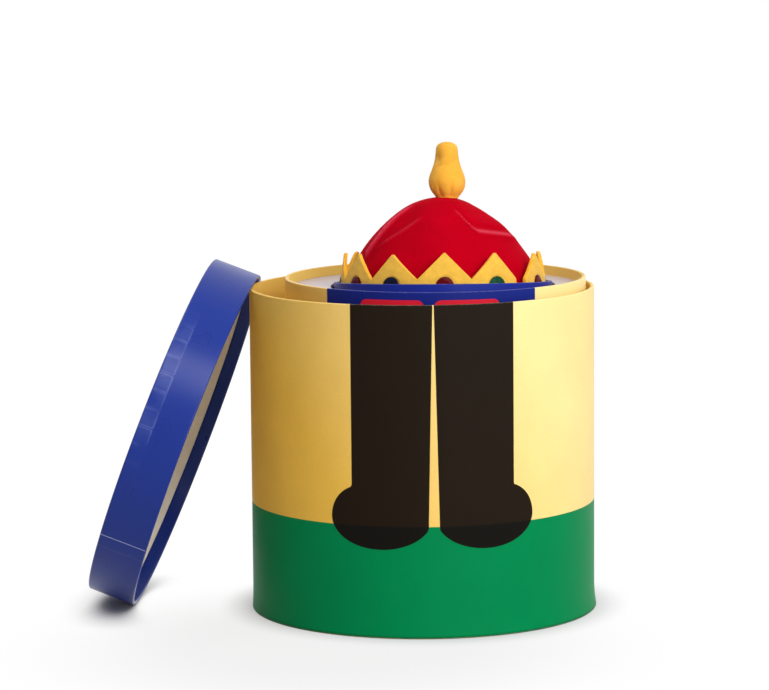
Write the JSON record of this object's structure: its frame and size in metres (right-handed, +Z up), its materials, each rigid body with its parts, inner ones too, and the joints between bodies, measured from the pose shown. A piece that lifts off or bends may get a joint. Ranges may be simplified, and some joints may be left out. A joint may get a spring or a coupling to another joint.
{
  "type": "jack in the box",
  "caption": "Round paperboard jack in the box: nesting printed drums, a spring-borne head drum with felt crown and stuffed cap, and a loose lid.",
  "frame": {"origin": "centre of the leg drum's floor, on the table", "axes": "+Z up along the leg drum, -Y to the front, +X to the right"},
  "size_m": [0.2952, 0.2116, 0.2713],
  "materials": {
    "yellow_board": "matte",
    "leg_print": "satin",
    "coat_print": "satin",
    "grey_board": "matte",
    "pale_board": "satin",
    "blue_board": "satin",
    "cream_board": "matte",
    "blue_print": "satin",
    "cream_paper": "matte",
    "spring_steel": "satin",
    "yellow_felt": "matte",
    "red_velvet": "matte",
    "gold_cloth": "matte",
    "red_stone": "gloss",
    "green_stone": "gloss",
    "blue_stone": "gloss"
  },
  "bodies": {
    "leg_drum": {"leg_drum_wall": "yellow_board", "leg_drum_wrap": "leg_print", "leg_drum_base": "grey_board", "leg_drum_base_hoop": "grey_board"},
    "torso_drum": {"torso_wall": "yellow_board", "torso_wrap": "coat_print", "torso_base": "grey_board", "torso_base_hoop": "grey_board", "shoulder_ring": "pale_board", "shoulder_hoop": "grey_board", "spring_seat": "grey_board", "spring_seat_clips": "spring_steel", "pop_spring": "spring_steel"},
    "head_drum": {"head_drum_wall": "blue_board", "head_drum_wrap": "blue_print", "head_platform": "grey_board", "head_stop_flange": "grey_board", "spring_top_clips": "spring_steel", "hat_board": "grey_board", "hat_board_hoop": "grey_board", "crown": "yellow_felt", "jewels_red": "red_stone", "jewels_green": "green_stone", "jewels_blue": "blue_stone", "cap": "red_velvet", "finial": "gold_cloth", "finial_tie": "gold_cloth"},
    "lid": {"lid_skirt": "cream_board", "lid_top": "cream_board", "lid_wrap": "blue_print", "lid_liner": "cream_paper"}
  },
  "joints": [
    {"name": "torso_lift", "type": "slide", "parent": "leg_drum", "child": "torso_drum", "axis": [0, 0, 1], "range_m": [0, 0.16]},
    {"name": "head_pop", "type": "slide", "parent": "torso_drum", "child": "head_drum", "axis": [0, 0.0837, 0.9965], "range_m": [-0.075, 0.07], "stiffness_N_per_m": 40, "springref_m": 0.0569, "deforming": ["pop_spring"]},
    {"name": "lid_away", "type": "slide", "parent": "leg_drum", "child": "lid", "axis": [-1, 0, 0], "range_m": [0, 0.12]}
  ]
}
